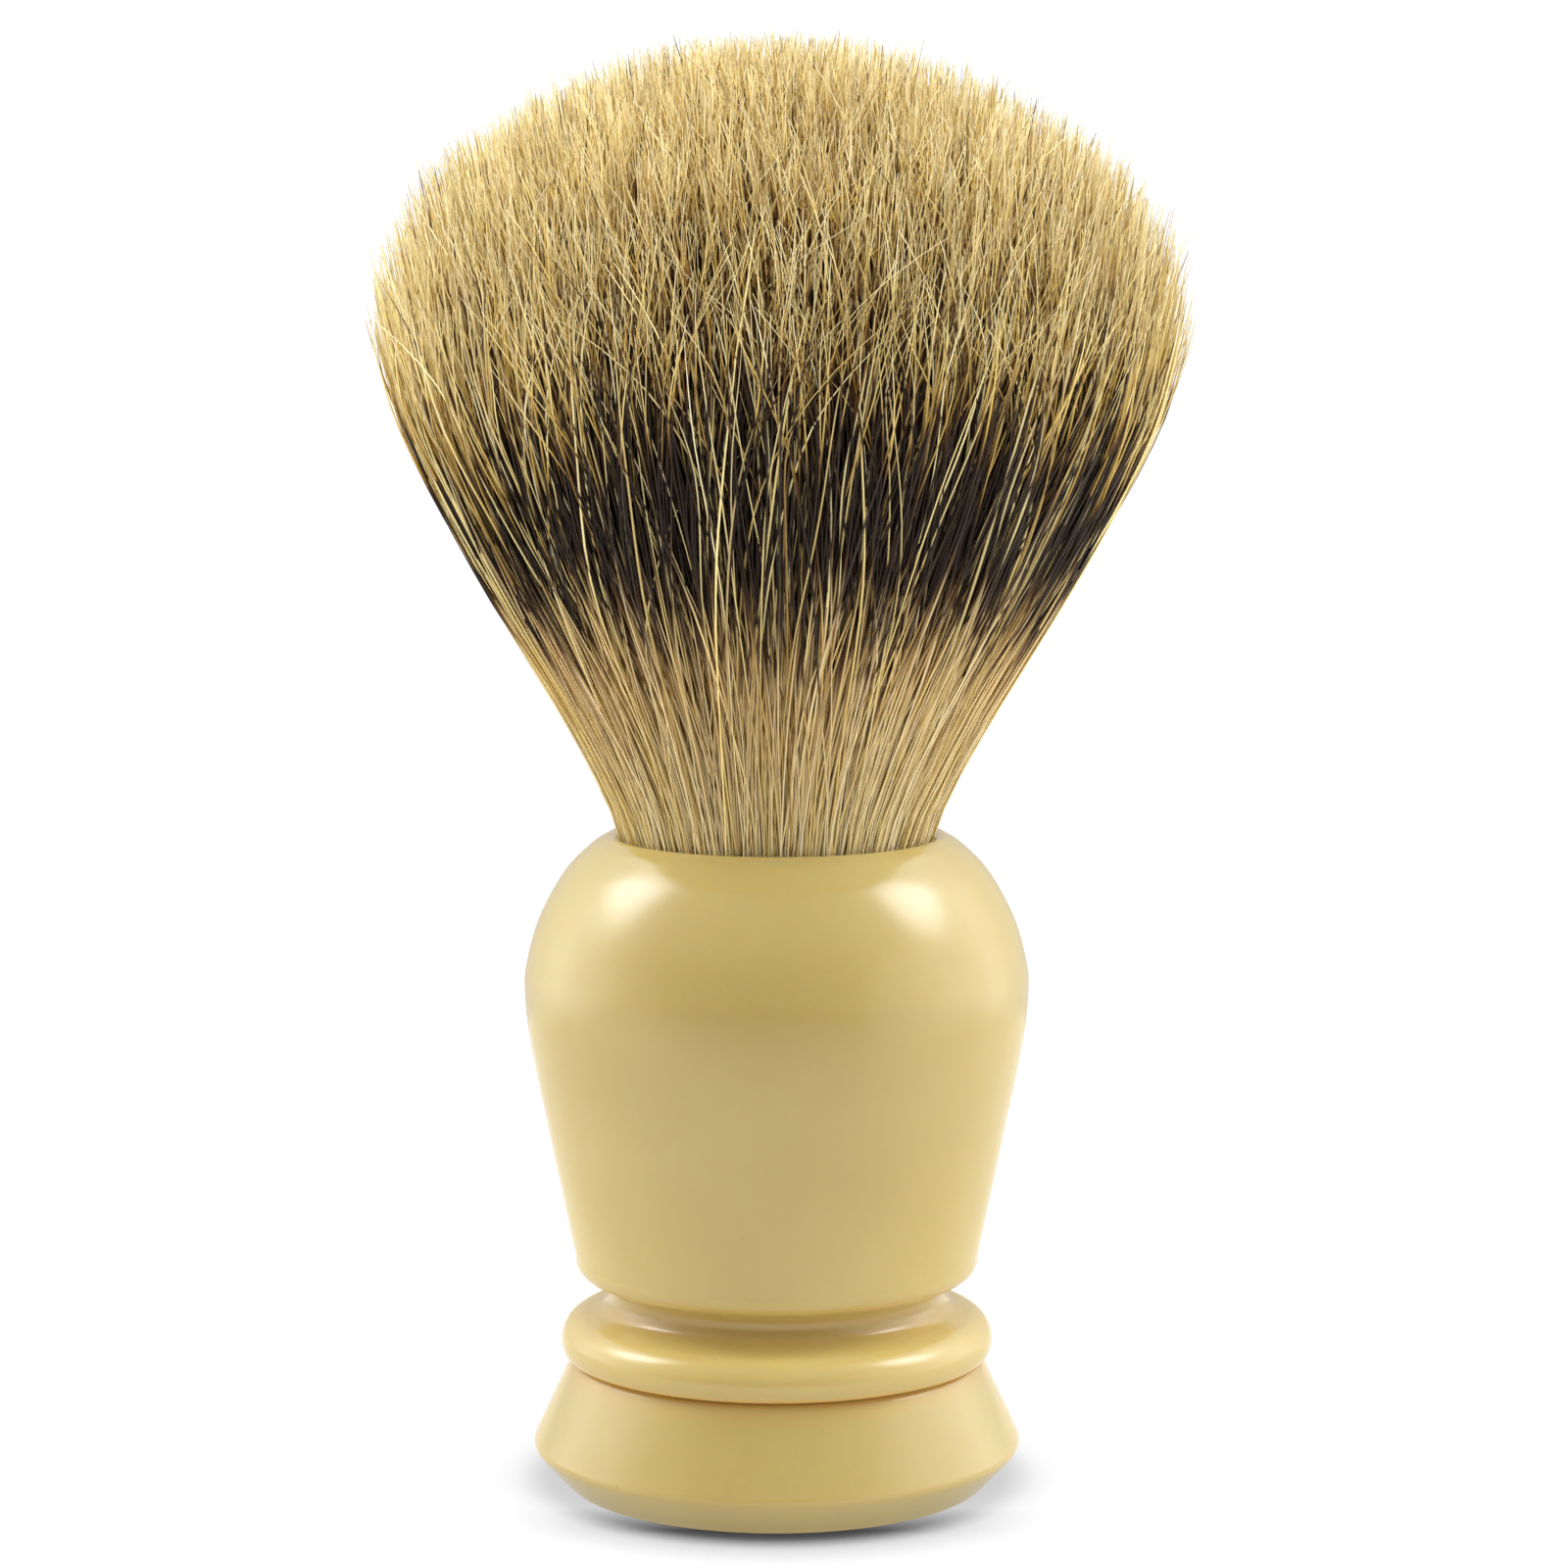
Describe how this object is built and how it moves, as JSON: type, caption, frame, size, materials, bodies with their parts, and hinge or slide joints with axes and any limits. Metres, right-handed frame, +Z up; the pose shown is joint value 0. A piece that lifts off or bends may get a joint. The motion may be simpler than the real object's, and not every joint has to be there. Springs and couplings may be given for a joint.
{
  "type": "shaving brush",
  "caption": "Shaving brush: a turned cream resin handle on a flared foot, with a fan of banded badger hair that bends at the handle's mouth and springs back.",
  "frame": {"origin": "centre of the ring that the foot rests on", "axes": "+Z up the brush's axis from the foot to the hair. +X and +Y are free, because the brush is round; +Y is the axis that the hair's modelled bend turns about"},
  "size_m": [0.0572, 0.0572, 0.1033],
  "materials": {
    "cream_resin": "polished cast resin in warm cream, with faint darker specks",
    "brass": "turned",
    "steel": "plain turned steel",
    "felt": "matte felt",
    "epoxy": "hard clear amber epoxy, filled with hair ends in the plug",
    "waxed_thread": "waxed thread",
    "pale_hair": "cream hair, satin",
    "banded_hair": "hair with a dark brown band below cream tips, satin"
  },
  "bodies": {
    "handle": {"handle_body": "cream_resin", "neck_ring": "cream_resin", "base_foot": "cream_resin", "brass_insert": "brass", "tie_screw": "steel", "screw_washer": "steel", "ballast_weight": "steel", "base_disc": "felt", "socket_adhesive": "epoxy", "knot_plug": "epoxy", "knot_binding": "waxed_thread", "hair_root": "pale_hair"},
    "knot": {"hair_crown": "banded_hair"}
  },
  "joints": [
    {"name": "knot_flex", "type": "hinge", "parent": "handle", "child": "knot", "pos_m": [0, 0, 0.0468], "axis": [0, 1, 0], "range_deg": [-30, 30], "stiffness_Nm_per_rad": 0.3, "deforming": ["hair_root"]}
  ]
}
